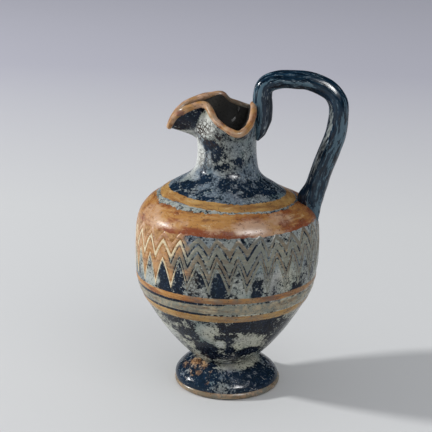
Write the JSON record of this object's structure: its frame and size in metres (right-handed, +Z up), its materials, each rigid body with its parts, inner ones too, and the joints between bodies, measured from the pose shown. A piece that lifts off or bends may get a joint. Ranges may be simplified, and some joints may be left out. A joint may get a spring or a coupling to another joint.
{
  "type": "glass oinochoe jug",
  "caption": "Small core-formed glass pouring jug with a trefoil mouth, a high looped rod handle, an ovoid body wound with zigzag threads and a domed pad foot.",
  "frame": {"origin": "centre of the foot's flat underside, on the vessel's axis", "axes": "+Z up along the vessel's axis, +X toward the handle, -X toward the spout; the XZ plane is the mirror plane"},
  "size_m": [0.0702, 0.0618, 0.1079],
  "materials": {
    "cobalt_glass": "weathered dark blue glass, opaque to the eye",
    "amber_glass": "opaque amber glass thread, worn",
    "yellow_glass": "opaque yellow glass thread, worn",
    "pale_glass": "opaque pale grey-green glass thread, weathered"
  },
  "bodies": {
    "root": {"vessel_wall": "cobalt_glass", "trefoil_mouth": "cobalt_glass", "handle": "cobalt_glass", "foot": "cobalt_glass", "rim_thread": "amber_glass", "foot_thread": "amber_glass", "shoulder_band_amber": "amber_glass", "girdle_thread_upper": "amber_glass", "shoulder_thread_yellow": "yellow_glass", "girdle_thread_lower": "yellow_glass", "zigzag_thread_1": "pale_glass", "zigzag_thread_3": "pale_glass", "girdle_thread_pale": "pale_glass", "zigzag_thread_2": "amber_glass", "zigzag_thread_4": "amber_glass"}
  },
  "joints": []
}
